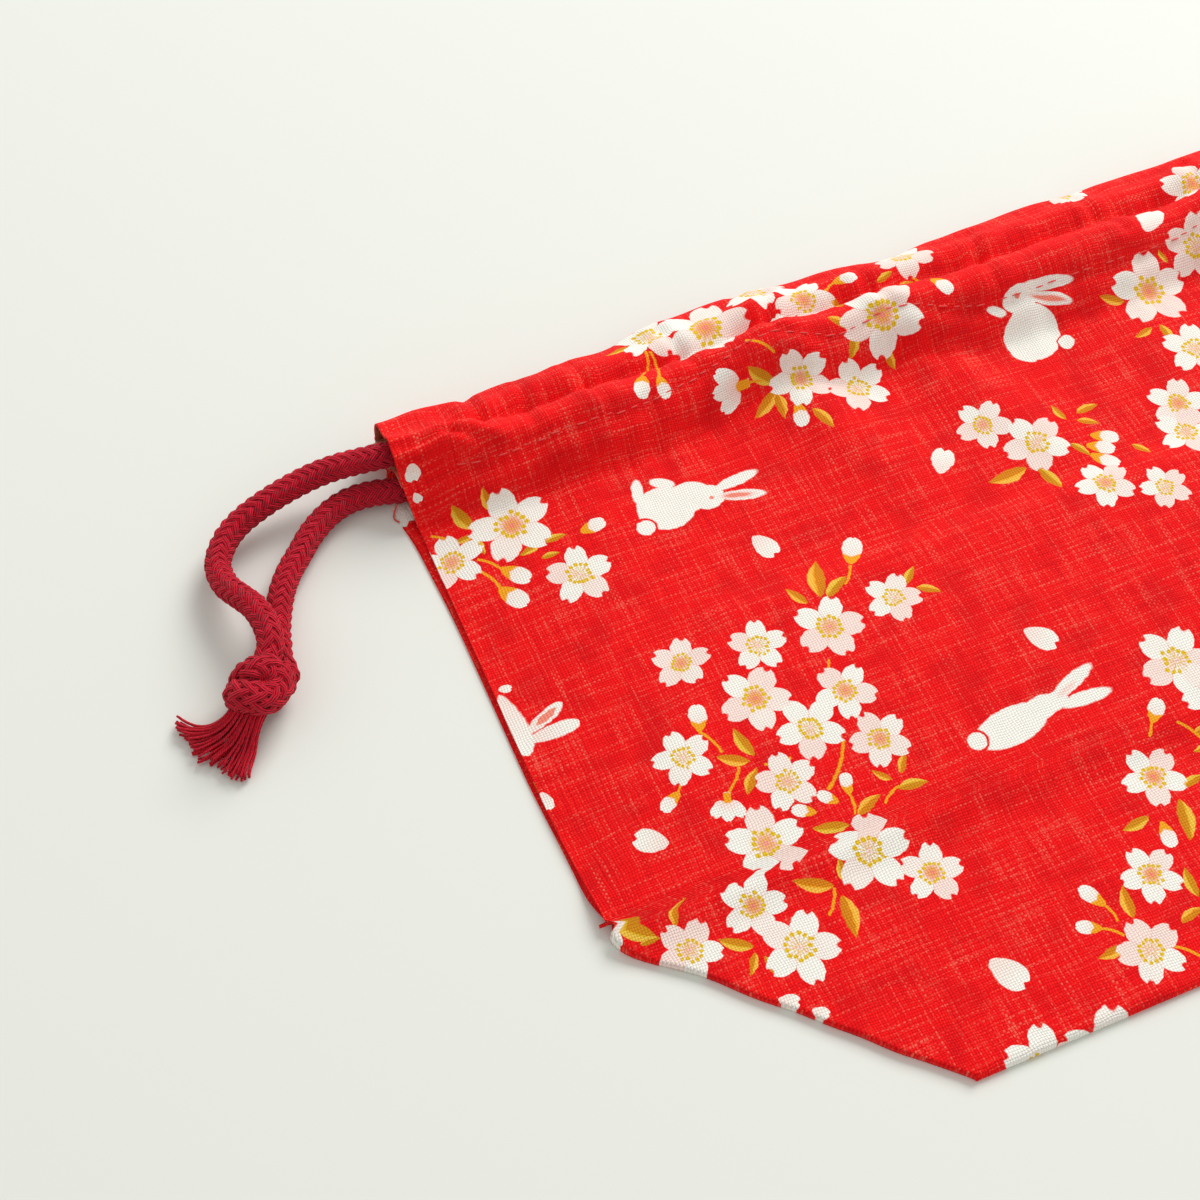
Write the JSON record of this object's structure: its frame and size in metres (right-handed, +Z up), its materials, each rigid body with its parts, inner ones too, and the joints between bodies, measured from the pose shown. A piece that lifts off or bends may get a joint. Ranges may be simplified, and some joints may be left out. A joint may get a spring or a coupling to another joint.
{
  "type": "bento bag",
  "caption": "Flat drawstring cloth bag for a lunch box, with a hemmed casing at its mouth, a knotted cord out of one end and a boxed bottom folded under",
  "frame": {"origin": "middle of the bag's outline, on the surface that it lies on", "axes": "+X runs along the mouth away from the cord's end, +Y from the folded bottom edge to the mouth, +Z up through the front panel"},
  "size_m": [0.3419, 0.1852, 0.0159],
  "materials": {
    "printed_cotton": "slubbed plain-weave cotton, red ground with printed blossoms",
    "braided_cord": "crimson braided cord, matt"
  },
  "bodies": {
    "root": {"front_panel": "printed_cotton", "back_panel": "printed_cotton", "drawstring": "braided_cord", "knot": "braided_cord", "tassel": "braided_cord"}
  },
  "joints": []
}
